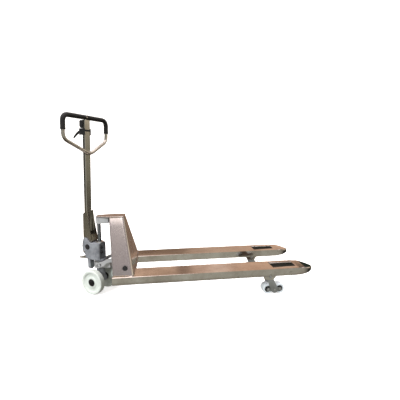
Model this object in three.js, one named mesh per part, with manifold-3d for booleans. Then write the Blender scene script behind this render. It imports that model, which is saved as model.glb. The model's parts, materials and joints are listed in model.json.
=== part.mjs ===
// A hand pallet jack in stainless steel: two forks, a housing, a hydraulic
// steering unit with a drawbar, and tandem load rollers under the fork tips.
// Millimetres, +Z up, floor at z = 0. +X runs along the forks to their tips and
// Y = 0 is the middle. The sizes below count X from the foot of the housing's back
// plate, and the last step moves the whole object so that X = 0 is mid-length.
// It stands with the forks raised, the drawbar upright and the wheels steered.

import * as THREE from 'three';
import { mergeVertices } from 'three/addons/utils/BufferGeometryUtils.js';
import { ConvexGeometry } from 'three/addons/geometries/ConvexGeometry.js';
import Module from 'manifold-3d';

const wasm = await Module();
wasm.setup();

const GAP = 0.3;
const DEG = Math.PI / 180;
const MID_LENGTH = 376;

// Forks
const FORK_REAR = -123;
const FORK_LENGTH = 1150;
const FORK_WIDTH = 150;
const FORK_TOP = 182;
const FORK_SKIRT = 47;
const FORK_CENTRE = 195;
const SHEET = 4;
const NOSE_START = 1035;
const SLOPE_START = 1075;
const TAPER_START = 1033;
const TIP_TOP = 167;
const TIP_BOTTOM = 150;
const WINDOW = { x0: 870, x1: 1026, half: 39 };
const FORK_BOTTOM = FORK_TOP - FORK_SKIRT;

// Housing
const HOUSING_TOP = 500;
const HOUSING_FOOT = { back: 0, front: FORK_REAR, half: 248, corner: 24 };
const HOUSING_HEAD = { back: -65, front: -160, half: 55, corner: 20 };
const FLANGE = 24;

// Steering unit
const STEER_X = -232;
const STEER_REST = 30.7 * DEG;
const WHEEL_RADIUS = 80;
const WHEEL_INNER = 48;
const WHEEL_OUTER = 88;
const AXLE_OFFSET = -9;
const COLUMN_RADIUS = 27;
const BORE_RADIUS = 20;
const PUMP_TOP = 327;
const PUMP_HALF = 38;
const RAM_RADIUS = 12;
const PIVOT = { x: -70, z: 299 };
const PLUNGER_X = PIVOT.x - 20.3;
const RELEASE = { x: -104, z: 225 };
const CARRIER_PIN_Z = 190;

// Drawbar and handle
const LEAN = 2.3 * DEG;
const TUBE_OFFSET = -24;
const BAR_W = 830;
const LOOP_HALF = 187;
const LOOP_RADIUS = 10.5;
const GRIP_RADIUS = 14.8;
const GRIP_START = 7;
const GRIP_END = 88;
const SIDE_END = 690;
const VEE = { slope: 0.47, p: 22, y: 40, lowY: 12 };
const TUBE = { half: 24, depth: 11, wall: 2.5, bottom: 96 };
const CAM = { arm: 23, angle: 140 * DEG, radius: 8 };
const LEVER = { p: -23, w: 750 };

// Lift linkage
const ROCKER = { x: -51, z: 224, crank: 72 };
const CRANK_REST = 15.05 * DEG;
const ARM_SLOT = { back: 4.4, front: 8.6, half: 9.8 };
const HANGER = { x: 842, z: 132 };
const BOGIE = { x: 885, z: 31.5, pin: 5 };
const ROD_LEVER = 34.56;
const ROD_LEVER_REST = 32.76 * DEG;
const ROLLER_RADIUS = 31.5;
const ROLLER_SPACING = 79;
const ROLLER_HALF = 30;

const STEEL = { color: 0x9b948c, roughness: 0.28, metalness: 1 };
const FORK_STEEL = { color: 0x8d7d6c, roughness: 0.3, metalness: 1 };
const CAST = { color: 0x9aa0a6, roughness: 0.6, metalness: 0.8 };
const BRIGHT = { color: 0xd2d2d2, roughness: 0.15, metalness: 1 };
const DARK = { color: 0x26282a, roughness: 0.5, metalness: 0.6 };
const RUBBER = { color: 0x141414, roughness: 0.85, metalness: 0 };
const NYLON = { color: 0xe8eee9, roughness: 0.5, metalness: 0 };

// ---------- shape helpers ----------

function solid(geometry) {
  const bare = geometry.clone();
  bare.deleteAttribute('normal');
  bare.deleteAttribute('uv');
  const merged = mergeVertices(bare, 1e-4);
  return new wasm.Manifold(new wasm.Mesh({
    numProp: 3,
    vertProperties: new Float32Array(merged.attributes.position.array),
    triVerts: new Uint32Array(merged.index.array),
  }));
}

function geometryOf(manifold) {
  const mesh = manifold.getMesh();
  const geometry = new THREE.BufferGeometry();
  geometry.setAttribute('position', new THREE.BufferAttribute(mesh.vertProperties, 3));
  geometry.setIndex(new THREE.BufferAttribute(mesh.triVerts, 1));
  const flat = geometry.toNonIndexed();
  flat.computeVertexNormals();
  return flat;
}

const union = (...pieces) => pieces.reduce((a, b) => a.add(b));
const cut = (body, ...tools) => tools.reduce((a, b) => a.subtract(b), body);

function box(x0, x1, y0, y1, z0, z1) {
  const g = new THREE.BoxGeometry(x1 - x0, y1 - y0, z1 - z0);
  return solid(g.translate((x0 + x1) / 2, (y0 + y1) / 2, (z0 + z1) / 2));
}

function cylinderZ(radius, x, y, z0, z1, segments = 28) {
  const g = new THREE.CylinderGeometry(radius, radius, z1 - z0, segments);
  return solid(g.rotateX(Math.PI / 2).translate(x, y, (z0 + z1) / 2));
}

function cylinderY(radius, x, z, y0, y1, segments = 24) {
  const g = new THREE.CylinderGeometry(radius, radius, y1 - y0, segments);
  return solid(g.translate(x, (y0 + y1) / 2, z));
}

// A plate in the XZ plane, from y0 to y1.
function plateY(points, y0, y1) {
  const shape = new THREE.Shape(points.map(([x, z]) => new THREE.Vector2(x, z)));
  const g = new THREE.ExtrudeGeometry(shape, { depth: y1 - y0, bevelEnabled: false });
  return solid(g.rotateX(Math.PI / 2).translate(0, y1, 0));
}

// A plate in the XY plane, from z0 to z1.
function plateZ(points, z0, z1) {
  const shape = new THREE.Shape(points.map(([x, y]) => new THREE.Vector2(x, y)));
  const g = new THREE.ExtrudeGeometry(shape, { depth: z1 - z0, bevelEnabled: false });
  return solid(g.translate(0, 0, z0));
}

function hull(points) {
  return solid(new ConvexGeometry(points.map((p) => new THREE.Vector3(...p))));
}

function arc(x, y, radius, from, to, steps) {
  const points = [];
  for (let i = 0; i <= steps; i += 1) {
    const a = (from + (to - from) * i / steps) * DEG;
    points.push([x + radius * Math.cos(a), y + radius * Math.sin(a)]);
  }
  return points;
}

// A plate with two round ends, one above the other.
function longHole(radius, x, z0, z1, y0, y1) {
  return plateY([...arc(x, z1, radius, 0, 180, 8), ...arc(x, z0, radius, 180, 360, 8)], y0, y1);
}

// A turned part about a Y line through (x, z): profile of [radius, y] points, closed.
function turnedY(profile, x, z, segments = 32) {
  const points = [...profile, profile[0]].map(([r, y]) => new THREE.Vector2(r, y));
  const g = new THREE.LatheGeometry(points, segments);
  return solid(g.translate(x, 0, z));
}

function ringZ(outer, inner, x, y, z0, z1, segments = 28) {
  return cut(cylinderZ(outer, x, y, z0, z1, segments),
    cylinderZ(inner, x, y, z0 - 1, z1 + 1, segments));
}

function ringY(outer, inner, x, z, y0, y1, segments = 24) {
  return cut(cylinderY(outer, x, z, y0, y1, segments),
    cylinderY(inner, x, z, y0 - 1, y1 + 1, segments));
}

function part(name, manifold, finish) {
  const mesh = new THREE.Mesh(geometryOf(manifold), new THREE.MeshStandardMaterial(finish));
  mesh.name = name;
  return mesh;
}

// ---------- forks and housing ----------

function forkOutline(inset) {
  const half = FORK_WIDTH / 2 - inset;
  const reach = FORK_LENGTH - inset - NOSE_START;
  const points = [];
  for (let i = -9; i <= 9; i += 1) {
    const across = Math.sin(i / 9 * Math.PI / 2);
    points.push([NOSE_START + reach * (1 - Math.abs(across) ** 1.43) ** 0.385, half * across]);
  }
  const rear = inset > 0 ? FORK_REAR - 10 : FORK_REAR;
  return [...points, [rear, half], [rear, -half]];
}

// The fork's side view, shrunk by an inset: the nose slopes down to a thin tip.
function forkProfile(inset, rear, foot) {
  return [[rear, foot], [TAPER_START, foot], [TAPER_START, FORK_BOTTOM + inset],
    [FORK_LENGTH, TIP_BOTTOM + inset], [FORK_LENGTH, TIP_TOP - inset],
    [SLOPE_START, FORK_TOP - inset], [rear, FORK_TOP - inset]];
}

function fork(side) {
  const half = FORK_WIDTH / 2;
  const outer = plateZ(forkOutline(0), FORK_BOTTOM - 1, FORK_TOP + 1)
    .intersect(plateY(forkProfile(0, FORK_REAR, FORK_BOTTOM), -half - 1, half + 1));
  const inner = plateZ(forkOutline(SHEET), FORK_BOTTOM - 30, FORK_TOP)
    .intersect(plateY(forkProfile(SHEET, FORK_REAR - 20, FORK_BOTTOM - 20), -half, half));
  const ear = [[799, FORK_BOTTOM + 2], [809, 115], [864, 113], [880, FORK_BOTTOM + 2]];
  const window = box(WINDOW.x0, WINDOW.x1, -WINDOW.half, WINDOW.half, FORK_TOP - 10, FORK_TOP + 10);
  const crankSlot = box(-100, -4.3, -26, 16, FORK_TOP - 10, FORK_TOP + 10);
  const body = cut(
    union(outer.subtract(inner), plateY(ear, -half, -half + SHEET), plateY(ear, half - SHEET, half)),
    window, crankSlot, cylinderY(8 + GAP, HANGER.x, HANGER.z, -half - 1, half + 1));
  return side > 0 ? body.translate(0, FORK_CENTRE, 0)
    : body.mirror([0, 1, 0]).translate(0, -FORK_CENTRE, 0);
}

// One level of the housing: the plate leans from its foot to its head.
function housingRing(z, inset, front = 0) {
  const t = (z - FORK_TOP) / (HOUSING_TOP - FORK_TOP);
  const mix = (key) => HOUSING_FOOT[key] + (HOUSING_HEAD[key] - HOUSING_FOOT[key]) * t;
  const half = mix('half') - inset;
  const back = mix('back') - Math.min(inset, SHEET * 1.2);
  const corner = Math.max(mix('corner') - SHEET, 4);
  const edge = mix('front') + front;
  const right = arc(back - corner, -half + corner, corner, -90, 0, 5);
  const left = arc(back - corner, half - corner, corner, 0, 90, 5);
  return [...right, ...left, [edge, half], [edge, -half]].map(([x, y]) => [x, y, z]);
}

function housingHull(outset) {
  return hull([...housingRing(FORK_TOP + GAP, -outset), ...housingRing(HOUSING_TOP, -outset)]);
}

function housingShell() {
  const foot = FORK_TOP + GAP;
  const outer = housingHull(0);
  const wall = SHEET * 1.2;
  const room = hull([...housingRing(foot - 20, wall, wall), ...housingRing(HOUSING_TOP + 20, wall, wall)]);
  const mouth = hull([...housingRing(foot - 20, FLANGE, -60), ...housingRing(HOUSING_TOP + 5, FLANGE, -60)]);
  return cut(outer, room, mouth,
    cylinderY(10 + GAP, ROCKER.x, ROCKER.z, -300, 300));
}

function topPlate() {
  return plateZ([[-68, -56], [-66, -50], [-66, 50], [-68, 56], [-160, 56], [-238, 32], [-245, 25],
    [-245, -25], [-238, -32], [-160, -56]], HOUSING_TOP + GAP, HOUSING_TOP + 6.3);
}

function ramSeat() {
  const body = plateZ([[-168, -27], [-168, 27], [-240, 27], [-246, 21], [-246, -21], [-240, -27]],
    457, HOUSING_TOP);
  return cut(body, cylinderZ(RAM_RADIUS + GAP, STEER_X, 0, 440, 480));
}

// The shaft's round heads are cut to the slope of the housing's sides.
function rockerShaft() {
  const heads = [-1, 1].map((s) => cylinderY(15, ROCKER.x, ROCKER.z,
    Math.min(s * 205, s * 233), Math.max(s * 205, s * 233), 28));
  return union(cylinderY(10, ROCKER.x, ROCKER.z, -225, 225),
    ...heads.map((head) => head.subtract(housingHull(0.5))));
}

function crossPlate() {
  const inner = FORK_CENTRE - FORK_WIDTH / 2 - GAP;
  return union(box(-SHEET, 0, -inner, inner, FORK_BOTTOM + 1, FORK_TOP),
    box(-30, 0, -inner, inner, FORK_BOTTOM + 1, FORK_BOTTOM + 5));
}

// ---------- lift linkage ----------

function rockerArm() {
  const reach = Math.hypot(STEER_X - ROCKER.x, CARRIER_PIN_Z - ROCKER.z);
  const eye = arc(reach + 7, 0, 17, -100, 100, 10);
  const arm = [[0, -20], [60, -15], [95, -4], [112, 3], [134, 3], [160, -14], ...eye,
    [160, 17], [134, 24], [112, 26], [60, 24], [0, 20]];
  const slope = Math.atan2(CARRIER_PIN_Z - ROCKER.z, STEER_X - ROCKER.x);
  const turn = (points, angle) => points.map(([u, v]) => [
    ROCKER.x + u * Math.cos(angle) + v * Math.sin(angle),
    ROCKER.z + u * Math.sin(angle) - v * Math.cos(angle)]);
  const down = -Math.PI / 2 + CRANK_REST;
  const crank = [...arc(0, 0, 21, 90, 270, 8), ...arc(ROCKER.crank, 0, 11, -90, 90, 8)];
  const slot = [...arc(reach - ARM_SLOT.back, 0, ARM_SLOT.half, 90, 270, 8),
    ...arc(reach + ARM_SLOT.front, 0, ARM_SLOT.half, -90, 90, 8)];
  const pin = crankPin();
  const pieces = [cylinderY(21, ROCKER.x, ROCKER.z, -188, 188)];
  for (const s of [-1, 1]) {
    const near = Math.min(s * 46, s * 56);
    pieces.push(plateY(turn(arm, slope).reverse(), near, near + 10));
    const out = Math.min(s * 178, s * 188);
    pieces.push(plateY(turn(crank, down), out, out + 10));
    pieces.push(cylinderY(6, pin.x, pin.z, Math.min(s * 185, s * 203), Math.max(s * 185, s * 203), 20));
  }
  return cut(union(...pieces), cylinderY(10 + GAP, ROCKER.x, ROCKER.z, -300, 300),
    plateY(turn(slot, slope).reverse(), -80, 80));
}

function crankPin() {
  return { x: ROCKER.x + ROCKER.crank * Math.sin(CRANK_REST),
    z: ROCKER.z - ROCKER.crank * Math.cos(CRANK_REST) };
}

function rodPin() {
  return { x: HANGER.x + ROD_LEVER * Math.sin(ROD_LEVER_REST),
    z: HANGER.z + ROD_LEVER * Math.cos(ROD_LEVER_REST) };
}

// The eyes are long holes: the rod stays level while its pins swing on arcs.
function pushrod(side) {
  const a = crankPin();
  const b = rodPin();
  const y0 = Math.min(side * 189, side * 199);
  const y = y0 + 5;
  const bar = plateY([[a.x, a.z - 6], [b.x, b.z - 6], [b.x, b.z + 6], [a.x, a.z + 6]], y - 4, y + 4);
  return cut(
    union(bar, longHole(10, a.x, a.z - 2.8, a.z + 1.2, y0, y0 + 10),
      longHole(9.2, b.x, b.z - 2.2, b.z + 5.8, y0, y0 + 10)),
    longHole(6.5, a.x, a.z - 2.8, a.z + 1.2, y0 - 1, y0 + 11),
    longHole(5.8, b.x, b.z - 2.2, b.z + 5.8, y0 - 1, y0 + 11));
}

function rollerBracket(side) {
  const lug = rodPin();
  const axis = Math.atan2(BOGIE.z - HANGER.z, BOGIE.x - HANGER.x) / DEG;
  const outline = [...arc(HANGER.x, HANGER.z, 20, axis + 92, axis + 268, 8),
    ...arc(BOGIE.x, BOGIE.z, 22, axis - 88, axis + 88, 8)];
  const lugAxis = Math.atan2(lug.z - HANGER.z, lug.x - HANGER.x) / DEG;
  const lugOutline = [...arc(HANGER.x, HANGER.z, 14, lugAxis + 90, lugAxis + 270, 8),
    ...arc(lug.x, lug.z, 9, lugAxis - 90, lugAxis + 90, 8)];
  const pieces = [cylinderY(14, HANGER.x, HANGER.z, -44, 44)];
  for (const s of [-1, 1]) {
    pieces.push(plateY(outline, Math.min(s * 38, s * 44), Math.max(s * 38, s * 44)));
    pieces.push(plateY(lugOutline, Math.min(s * 6, s * 12), Math.max(s * 6, s * 12)));
  }
  pieces.push(cylinderY(5, lug.x, lug.z, -12, 12, 20));
  const body = cut(union(...pieces), cylinderY(8 + GAP, HANGER.x, HANGER.z, -50, 50),
    cylinderY(BOGIE.pin + GAP, BOGIE.x, BOGIE.z, -50, 50));
  return body.translate(0, side * FORK_CENTRE, 0);
}

function bogieFrame(side) {
  const outline = [...arc(-ROLLER_SPACING / 2, 0, 11, 90, 270, 8),
    ...arc(ROLLER_SPACING / 2, 0, 11, -90, 90, 8)].map(([x, z]) => [x + BOGIE.x, z + BOGIE.z]);
  const plates = [-1, 1].map((s) => plateY(outline, Math.min(s * 31, s * 36), Math.max(s * 31, s * 36)));
  const bores = [-1, 1].map((s) => cylinderY(6 + GAP, BOGIE.x + s * ROLLER_SPACING / 2, BOGIE.z, -40, 40));
  const saddle = box(BOGIE.x - 9, BOGIE.x + 9, -33, 33, BOGIE.z + 17, BOGIE.z + 25);
  const tabs = [-1, 1].map((s) => box(BOGIE.x - 9, BOGIE.x + 9,
    Math.min(s * 31, s * 36), Math.max(s * 31, s * 36), BOGIE.z, BOGIE.z + 25));
  const pinHole = cylinderY(BOGIE.pin + GAP, BOGIE.x, BOGIE.z, -40, 40);
  return cut(union(...plates, ...tabs, saddle), ...bores, pinHole)
    .translate(0, side * FORK_CENTRE, 0);
}

function loadRoller() {
  const r = ROLLER_RADIUS;
  const h = ROLLER_HALF;
  const bore = 15.5;
  return [[bore, -h + 2], [r - 8, -h + 2], [r - 4, -h], [r, -h + 4],
    [r, h - 4], [r - 4, h], [r - 8, h - 2], [bore, h - 2]];
}

// ---------- steering unit, in its own straight-ahead frame ----------

// The cast block carries the drawbar between two ears, with the pump plunger between them.
function pumpBody() {
  const p = PIVOT;
  const side = PUMP_HALF;
  const ear = [[-40, 228], [-42, 324], [-56, 336], [-72, 353], [-90, 360], [-100, 356],
    [-111, 332], [-116, 300], [-111, 262], [-90, 241]];
  const ears = [-1, 1].map((s) => plateY(ear, Math.min(s * 31, s * side), Math.max(s * 31, s * side)));
  const axleBoss = arc(AXLE_OFFSET, WHEEL_RADIUS, 27, 0, 360, 24);
  const tab = [...arc(0, 160, 20, 180, 360, 10), [20, 232], [-20, 232]];
  const body = union(
    plateZ([[-46, -side], [14, -side], [22, -30], [22, 30], [14, side], [-46, side]], 216, PUMP_TOP),
    cylinderZ(34, 0, 0, 208, 220, 40),
    cylinderZ(COLUMN_RADIUS, 0, 0, 70, 212, 40),
    hull([-side, side].flatMap((y) => axleBoss.map(([x, z]) => [x, y, z]))),
    ...ears,
    box(PLUNGER_X, -40, -16, 16, 220, 254),
    cylinderZ(17, PLUNGER_X, 0, 205, 258, 28),
    hull(tab.flatMap(([y, z]) => [[-92, y, z], [-69, y, z]])),
    box(-112, -40, -26, -14, 214, 236));
  return cut(body,
    cylinderZ(BORE_RADIUS, 0, 0, 106, PUMP_TOP + 5),
    cylinderZ(8.3, PLUNGER_X, 0, 213, 300, 24),
    cylinderY(7 + GAP, p.x, p.z, -50, 50, 24),
    cylinderY(12.5 + GAP, AXLE_OFFSET, WHEEL_RADIUS, -50, 50),
    cylinderY(4 + GAP, RELEASE.x, RELEASE.z, -40, -10, 20));
}

function glandNut() {
  return cut(union(cylinderZ(BORE_RADIUS - 0.4, 0, 0, 315, PUMP_TOP + 5),
    cylinderZ(29, 0, 0, PUMP_TOP + GAP, PUMP_TOP + 9, 6)),
  cylinderZ(RAM_RADIUS + GAP, 0, 0, 300, 345));
}

function steerWheel(side) {
  const r = WHEEL_RADIUS;
  const a = WHEEL_INNER;
  const b = WHEEL_OUTER;
  const profile = [[21, a + 2], [30, a + 2], [34, a + 7], [r - 20, a + 7], [r - 15, a + 1], [r - 5, a],
    [r - 1, a + 3], [r, a + 7], [r, b - 7], [r - 1, b - 3], [r - 5, b], [r - 15, b - 1],
    [r - 20, b - 7], [34, b - 7], [30, b - 2], [21, b - 2]];
  return turnedY(side > 0 ? profile : profile.map(([q, y]) => [q, -y]).reverse(), AXLE_OFFSET, r, 48);
}

function swivelCarrier() {
  const pins = [-1, 1].map((s) => cylinderY(8, 0, CARRIER_PIN_Z,
    Math.min(s * 30, s * 60), Math.max(s * 30, s * 60), 28));
  return cut(union(cylinderZ(40, 0, 0, 163, 201, 40), box(0, 66, -33, 33, 163, 198), ...pins),
    cylinderZ(COLUMN_RADIUS + GAP, 0, 0, 150, 210, 40)).translate(STEER_X, 0, 0);
}

// ---------- drawbar, in its own upright frame with its pivot at the origin ----------

function handleYoke() {
  const cam = { p: CAM.arm * Math.cos(CAM.angle), w: CAM.arm * Math.sin(CAM.angle) };
  const cheek = [...arc(0, 0, 19, 195, 350, 8), [21, 30], [29, 47], [6, 153], [-8, 238], [-40, 216],
    [-40.3, 63], ...arc(cam.p - 2, cam.w, 11, 150, 200, 4)];
  const web = plateY([[-40.3, 60], [-35.3, 60], [-35.3, 218.5], [-40.3, 215.5]], -28, 28);
  const plates = [-1, 1].map((s) => plateY(cheek, Math.min(s * 25, s * 30), Math.max(s * 25, s * 30)));
  return cut(union(...plates, web), cylinderY(7 + GAP, 0, 0, -40, 40, 24),
    cylinderY(4 + GAP, cam.p, cam.w, -40, 40, 20));
}

function drawbarTube() {
  const { half, depth, wall, bottom } = TUBE;
  return cut(
    box(-depth, depth, -half, half, bottom, BAR_W - GRIP_RADIUS - 0.6),
    box(-depth + wall, depth - wall, -half + wall, half - wall, bottom - 1, BAR_W),
    box(-depth - 1, -depth + wall + 1, -5, 5, LEVER.w - 16, LEVER.w + 16));
}

// One side of the loop: along the bar, down the side, and back to the middle of the vee,
// which passes in front of the drawbar. A grip covers the bar and the top of the side.
function loopSide(s, isGrip) {
  const bend = 42;
  const v = (y, w, p = 0) => new THREE.Vector3(p, s * y, w);
  const path = new THREE.CurvePath();
  const line = (a, b) => path.add(new THREE.LineCurve3(a, b));
  const round = (a, k, b) => path.add(new THREE.QuadraticBezierCurve3(a, k, b));
  line(v(isGrip ? GRIP_START : -1, BAR_W), v(LOOP_HALF - bend, BAR_W));
  round(v(LOOP_HALF - bend, BAR_W), v(LOOP_HALF, BAR_W), v(LOOP_HALF, BAR_W - bend));
  if (isGrip) {
    line(v(LOOP_HALF, BAR_W - bend), v(LOOP_HALF, BAR_W - GRIP_END));
    return path;
  }
  const slant = (y) => v(y, SIDE_END - (LOOP_HALF - y) * VEE.slope,
    VEE.p * (LOOP_HALF - y) / (LOOP_HALF - VEE.y));
  const low = slant(VEE.lowY).z;
  line(v(LOOP_HALF, BAR_W - bend), v(LOOP_HALF, SIDE_END + 34));
  round(v(LOOP_HALF, SIDE_END + 34), v(LOOP_HALF, SIDE_END), slant(LOOP_HALF - 30));
  line(slant(LOOP_HALF - 30), slant(VEE.y));
  round(slant(VEE.y), v(VEE.lowY, low, VEE.p), v(0, low, VEE.p));
  line(v(0, low, VEE.p), v(-1, low, VEE.p));
  return path;
}

// A round bar, or a sleeve when it has a bore, swept along a path.
function sweep(path, radius, steps, bore = 0) {
  const ring = (r) => arc(0, 0, r, 0, 360, 16).slice(0, -1).map(([a, b]) => new THREE.Vector2(a, b));
  const section = new THREE.Shape(ring(radius));
  if (bore > 0) section.holes.push(new THREE.Path(ring(bore)));
  return solid(new THREE.ExtrudeGeometry(section, { steps, extrudePath: path, bevelEnabled: false }));
}

function handleLoop() {
  return union(sweep(loopSide(1, false), LOOP_RADIUS, 28), sweep(loopSide(-1, false), LOOP_RADIUS, 28));
}

function leverHousing() {
  const face = -TUBE.depth - GAP;
  const w = LEVER.w;
  const side = TUBE.half + GAP;
  const cap = [[face, w + 14], [face, BAR_W - 17], [-24, BAR_W - 17], [-30, BAR_W - 24], [-30, w + 26],
    [-22, w + 14]];
  const wing = [[face - 2, w + 20], [face - 2, BAR_W - 22], [2, BAR_W - 22], [-4, w + 20]];
  return union(plateY(cap, -side - 3, side + 3), plateY(wing, -side - 3, -side),
    plateY(wing, side, side + 3));
}

// A curved black horn that tapers from its hub to its tip.
function controlLever() {
  const { p, w } = LEVER;
  const slab = (points, half) => points.flatMap(([x, z]) => [[x, -half, z], [x, half, z]]);
  const root = [[p - 17, w + 7], [p - 17, w - 14]];
  const middle = [[p - 56, w - 15], [p - 54, w - 30]];
  const tip = [[p - 88, w - 46], [p - 82, w - 55]];
  const lever = union(
    cylinderY(9, p, w, -23, 23, 24),
    box(p, 2, -2.5, 2.5, w - 4, w + 4),
    hull([...slab(arc(p, w, 8, 90, 270, 8), 11), ...slab(root, 11)]),
    hull([...slab(root, 11), ...slab(middle, 12)]),
    hull([...slab(middle, 12), ...slab(tip, 9)]));
  return cut(lever, cylinderY(4 + GAP, p, w, -40, 40, 20));
}

function leverBracket() {
  const { p, w } = LEVER;
  const d = TUBE.depth + GAP;
  const h = TUBE.half + GAP;
  return cut(
    union(box(p - 10, d + 1.5, -h - 3, -h, w - 28, w + 12), box(p - 10, d + 1.5, h, h + 3, w - 28, w + 12),
      box(d, d + 1.5, -h - 1, h + 1, w - 6, w + 5)),
    cylinderY(4 + GAP, p, w, -40, 40, 20));
}

function spring(radius, wire, x, z0, z1, turns) {
  class Coil extends THREE.Curve {
    getPoint(t) {
      const a = t * turns * 2 * Math.PI;
      return new THREE.Vector3(x + radius * Math.cos(a), radius * Math.sin(a), z0 + (z1 - z0) * t);
    }
  }
  const section = new THREE.Shape(arc(0, 0, wire, 0, 360, 5).slice(0, -1)
    .map(([a, b]) => new THREE.Vector2(a, b)));
  return solid(new THREE.ExtrudeGeometry(section,
    { steps: turns * 11, extrudePath: new Coil(), bevelEnabled: false }));
}

// ---------- assembly ----------

function chassis() {
  const group = new THREE.Group();
  group.name = 'chassis';
  for (const [name, side] of [['left', 1], ['right', -1]]) {
    group.add(part(`fork_${name}`, fork(side), FORK_STEEL));
    group.add(part(`hanger_pin_${name}`, cylinderY(8, HANGER.x, HANGER.z,
      side * FORK_CENTRE - 78, side * FORK_CENTRE + 78, 28), BRIGHT));
  }
  group.add(part('housing_shell', housingShell(), STEEL));
  group.add(part('top_plate', topPlate(), STEEL));
  group.add(part('ram_seat', ramSeat(), CAST));
  group.add(part('cross_plate', crossPlate(), STEEL));
  group.add(part('ram_rod', cylinderZ(RAM_RADIUS, STEER_X, 0, 212, 479.5, 40), BRIGHT));
  group.add(part('rocker_shaft', rockerShaft(), DARK));
  return group;
}

function linkage() {
  const group = new THREE.Group();
  group.name = 'linkage';
  group.add(part('rocker_arm', rockerArm(), CAST));
  for (const [name, side] of [['left', 1], ['right', -1]]) {
    const y = side * FORK_CENTRE;
    group.add(part(`pushrod_${name}`, pushrod(side), STEEL));
    group.add(part(`roller_bracket_${name}`, rollerBracket(side), STEEL));
    group.add(part(`bogie_pin_${name}`, cylinderY(BOGIE.pin, BOGIE.x, BOGIE.z, y - 47, y + 47, 20), BRIGHT));
    group.add(part(`bogie_frame_${name}`, bogieFrame(side), STEEL));
    for (const [place, s] of [['rear', -1], ['front', 1]]) {
      const x = BOGIE.x + s * ROLLER_SPACING / 2;
      const shift = (m) => m.translate(0, y, 0);
      group.add(part(`roller_axle_${name}_${place}`,
        shift(cylinderY(6, x, BOGIE.z, -37.5, 37.5, 24)), BRIGHT));
      group.add(part(`roller_bearing_${name}_${place}`,
        shift(ringY(15.2, 6 + GAP, x, BOGIE.z, -ROLLER_HALF + 0.5, ROLLER_HALF - 0.5)), DARK));
      group.add(part(`load_roller_${name}_${place}`, shift(turnedY(loadRoller(), x, BOGIE.z)), NYLON));
    }
  }
  return group;
}

function steeringUnit() {
  const group = new THREE.Group();
  group.name = 'steering_unit';
  group.position.x = STEER_X;
  group.rotation.z = -STEER_REST;
  group.add(part('thrust_bearing', ringZ(38, COLUMN_RADIUS + GAP, 0, 0, 201 + GAP, 208 - GAP, 40), BRIGHT));
  group.add(part('pump_body', pumpBody(), CAST));
  group.add(part('gland_nut', glandNut(), BRIGHT));
  group.add(part('ram_seal', ringZ(BORE_RADIUS - 0.4, RAM_RADIUS + GAP, 0, 0, 306, 314.7), RUBBER));
  group.add(part('wheel_axle', cylinderY(12.5, AXLE_OFFSET, WHEEL_RADIUS, -93, 93), BRIGHT));
  for (const [name, s] of [['left', 1], ['right', -1]]) {
    const span = (a, b) => [Math.min(s * a, s * b), Math.max(s * a, s * b)];
    group.add(part(`steer_wheel_${name}`, steerWheel(s), NYLON));
    group.add(part(`wheel_bearing_${name}`,
      ringY(20.7, 12.8, AXLE_OFFSET, WHEEL_RADIUS, ...span(WHEEL_INNER + 2, WHEEL_OUTER - 2)), DARK));
    group.add(part(`axle_ring_${name}`,
      ringY(17, 12.8, AXLE_OFFSET, WHEEL_RADIUS, ...span(WHEEL_OUTER - 1.5, WHEEL_OUTER + 1.5)), BRIGHT));
  }
  const headTop = PIVOT.z + CAM.arm * Math.sin(CAM.angle) - CAM.radius - 0.4;
  group.add(part('pump_plunger', union(cylinderZ(8, PLUNGER_X, 0, 243.5, headTop - 2, 24),
    cylinderZ(9, PLUNGER_X, 0, headTop - 5, headTop, 24)), BRIGHT));
  group.add(part('plunger_spring', spring(10, 1.2, PLUNGER_X, 259.7, headTop - 6.6, 5), BRIGHT));
  const pin = cylinderY(7, PIVOT.x, PIVOT.z, -40, 40, 28);
  const heads = [cylinderY(12.5, PIVOT.x, PIVOT.z, -42, -PUMP_HALF - GAP, 28),
    cylinderY(12.5, PIVOT.x, PIVOT.z, PUMP_HALF + GAP, 42, 28)];
  group.add(part('pivot_pin', union(pin, ...heads), DARK));
  group.add(part('filler_plug', cylinderZ(7, -40, 12, PUMP_TOP + GAP, PUMP_TOP + 7, 6), DARK));
  const arm = union(hull([...arc(RELEASE.x, RELEASE.z, 9, -90, 90, 8), ...arc(-148, 219, 5, 90, 270, 8)]
    .flatMap(([x, z]) => [[x, -32, z], [x, -26.5, z]])),
  cylinderY(4, RELEASE.x, RELEASE.z, -30, -14.5, 20));
  group.add(part('release_arm', arm, BRIGHT));
  return group;
}

function drawbar() {
  const group = new THREE.Group();
  group.name = 'drawbar';
  group.position.set(PIVOT.x, 0, PIVOT.z);
  group.rotation.y = LEAN;
  const cam = { p: CAM.arm * Math.cos(CAM.angle), w: CAM.arm * Math.sin(CAM.angle) };
  group.add(part('handle_yoke', handleYoke(), STEEL));
  group.add(part('cam_pin', cylinderY(4, cam.p, cam.w, -31, 31, 20), DARK));
  group.add(part('cam_roller', ringY(CAM.radius, 4 + GAP, cam.p, cam.w, -8, 8, 28), BRIGHT));
  const bar = new THREE.Group();
  bar.name = 'bar';
  bar.position.x = TUBE_OFFSET;
  bar.add(part('drawbar_tube', drawbarTube(), STEEL));
  bar.add(part('handle_loop', handleLoop(), STEEL));
  for (const [name, s] of [['left', 1], ['right', -1]]) {
    bar.add(part(`grip_${name}`, sweep(loopSide(s, true), GRIP_RADIUS, 13, LOOP_RADIUS + 1.7), RUBBER));
  }
  bar.add(part('lever_housing', leverHousing(), RUBBER));
  bar.add(part('lever_bracket', leverBracket(), DARK));
  bar.add(part('lever_pin', cylinderY(4, LEVER.p, LEVER.w, -30, 30, 20), BRIGHT));
  bar.add(part('control_lever', controlLever(), RUBBER));
  bar.add(part('release_rod', union(cylinderZ(4, 0, 0, 44, LEVER.w - 6, 20),
    cylinderZ(6.5, 0, 0, LEVER.w - 11, LEVER.w - 6, 20)), BRIGHT));
  group.add(bar);
  return group;
}

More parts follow.
